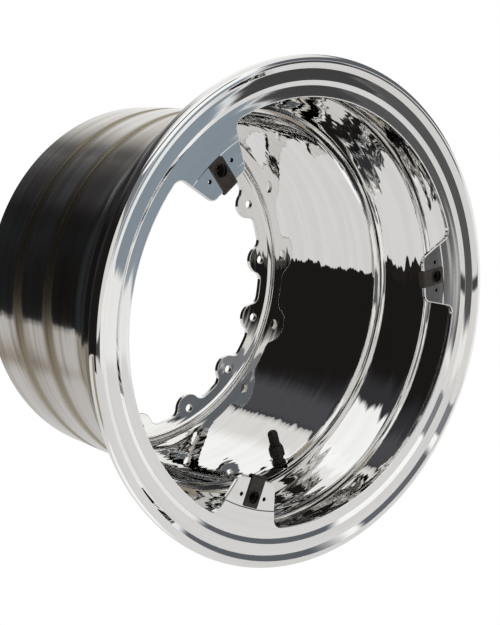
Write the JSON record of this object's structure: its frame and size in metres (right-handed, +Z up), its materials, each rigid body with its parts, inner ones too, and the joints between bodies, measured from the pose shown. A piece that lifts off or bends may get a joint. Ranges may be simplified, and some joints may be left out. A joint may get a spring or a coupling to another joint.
{
  "type": "racing wheel rim half",
  "caption": "Outer half of a three-piece racing wheel: deep polished barrel, stepped lip, cover ring with clip-on fastener tabs, valve and scalloped bolt flange.",
  "frame": {"origin": "centre of the bolt circle on the flange's mating face", "axes": "+Y along the wheel's axis from the open lip towards the mating face; +Z up and +X to the right when the lip is looked into"},
  "size_m": [0.413, 0.244, 0.413],
  "materials": {
    "polished_alloy": "mirror-polished lip and inside, satin turned outside",
    "black_anodised": "matte black anodised",
    "black_rubber": "matte",
    "core_brass": "satin",
    "spring_steel": "satin",
    "oxide_steel": "black oxide, slightly brown"
  },
  "bodies": {
    "rim": {"rim_shell": "polished_alloy", "cover_ring": "polished_alloy", "valve_stem": "black_anodised", "valve_grommet": "black_rubber", "valve_washer": "black_anodised", "valve_nut": "black_anodised", "valve_core": "core_brass", "valve_core_spring": "spring_steel"},
    "core_pin": {"valve_core_pin": "core_brass"},
    "cap_lifter": {"valve_cap_seal": "black_rubber"},
    "cap": {"valve_cap": "black_anodised"},
    "clip_1": {"cover_clip_1": "oxide_steel", "receptacle_cage_1": "oxide_steel"},
    "clip_2": {"cover_clip_2": "oxide_steel", "receptacle_cage_2": "oxide_steel"},
    "clip_3": {"cover_clip_3": "oxide_steel", "receptacle_cage_3": "oxide_steel"},
    "cup_1": {"receptacle_1": "oxide_steel", "receptacle_wire_1": "spring_steel"},
    "cup_2": {"receptacle_2": "oxide_steel", "receptacle_wire_2": "spring_steel"},
    "cup_3": {"receptacle_3": "oxide_steel", "receptacle_wire_3": "spring_steel"}
  },
  "joints": [
    {"name": "clip_slide_1", "type": "slide", "parent": "rim", "child": "clip_1", "axis": [-0.993, 0, -0.1184], "range_m": [0, 0.026]},
    {"name": "receptacle_float_1", "type": "slide", "parent": "clip_1", "child": "cup_1", "axis": [-0.1184, 0, 0.993], "range_m": [-0.0007, 0.0007]},
    {"name": "clip_slide_2", "type": "slide", "parent": "rim", "child": "clip_2", "axis": [0.599, 0, -0.8007], "range_m": [0, 0.026]},
    {"name": "receptacle_float_2", "type": "slide", "parent": "clip_2", "child": "cup_2", "axis": [-0.8007, 0, -0.599], "range_m": [-0.0007, 0.0007]},
    {"name": "clip_slide_3", "type": "slide", "parent": "rim", "child": "clip_3", "axis": [0.3939, 0, 0.9191], "range_m": [0, 0.026]},
    {"name": "receptacle_float_3", "type": "slide", "parent": "clip_3", "child": "cup_3", "axis": [0.9191, 0, -0.3939], "range_m": [-0.0007, 0.0007]},
    {"name": "core_pin_press", "type": "slide", "parent": "rim", "child": "core_pin", "axis": [0.2723, 0, -0.9622], "range_m": [0, 0.0012], "stiffness_N_per_m": 900, "springref_m": -0.001, "deforming": ["valve_core_spring"]},
    {"name": "cap_lift", "type": "slide", "parent": "rim", "child": "cap_lifter", "axis": [-0.2723, 0, 0.9622], "range_m": [0, 0.00793]},
    {"name": "cap_turn", "type": "hinge", "parent": "cap_lifter", "child": "cap", "pos_m": [0.0354, -0.1515, -0.12509], "axis": [-0.2723, 0, 0.9622], "range_deg": [0, 3600]}
  ],
  "couplings": [
    {"joint": "cap_turn", "follows": "cap_lift", "rad_per_m": 7913.3}
  ]
}
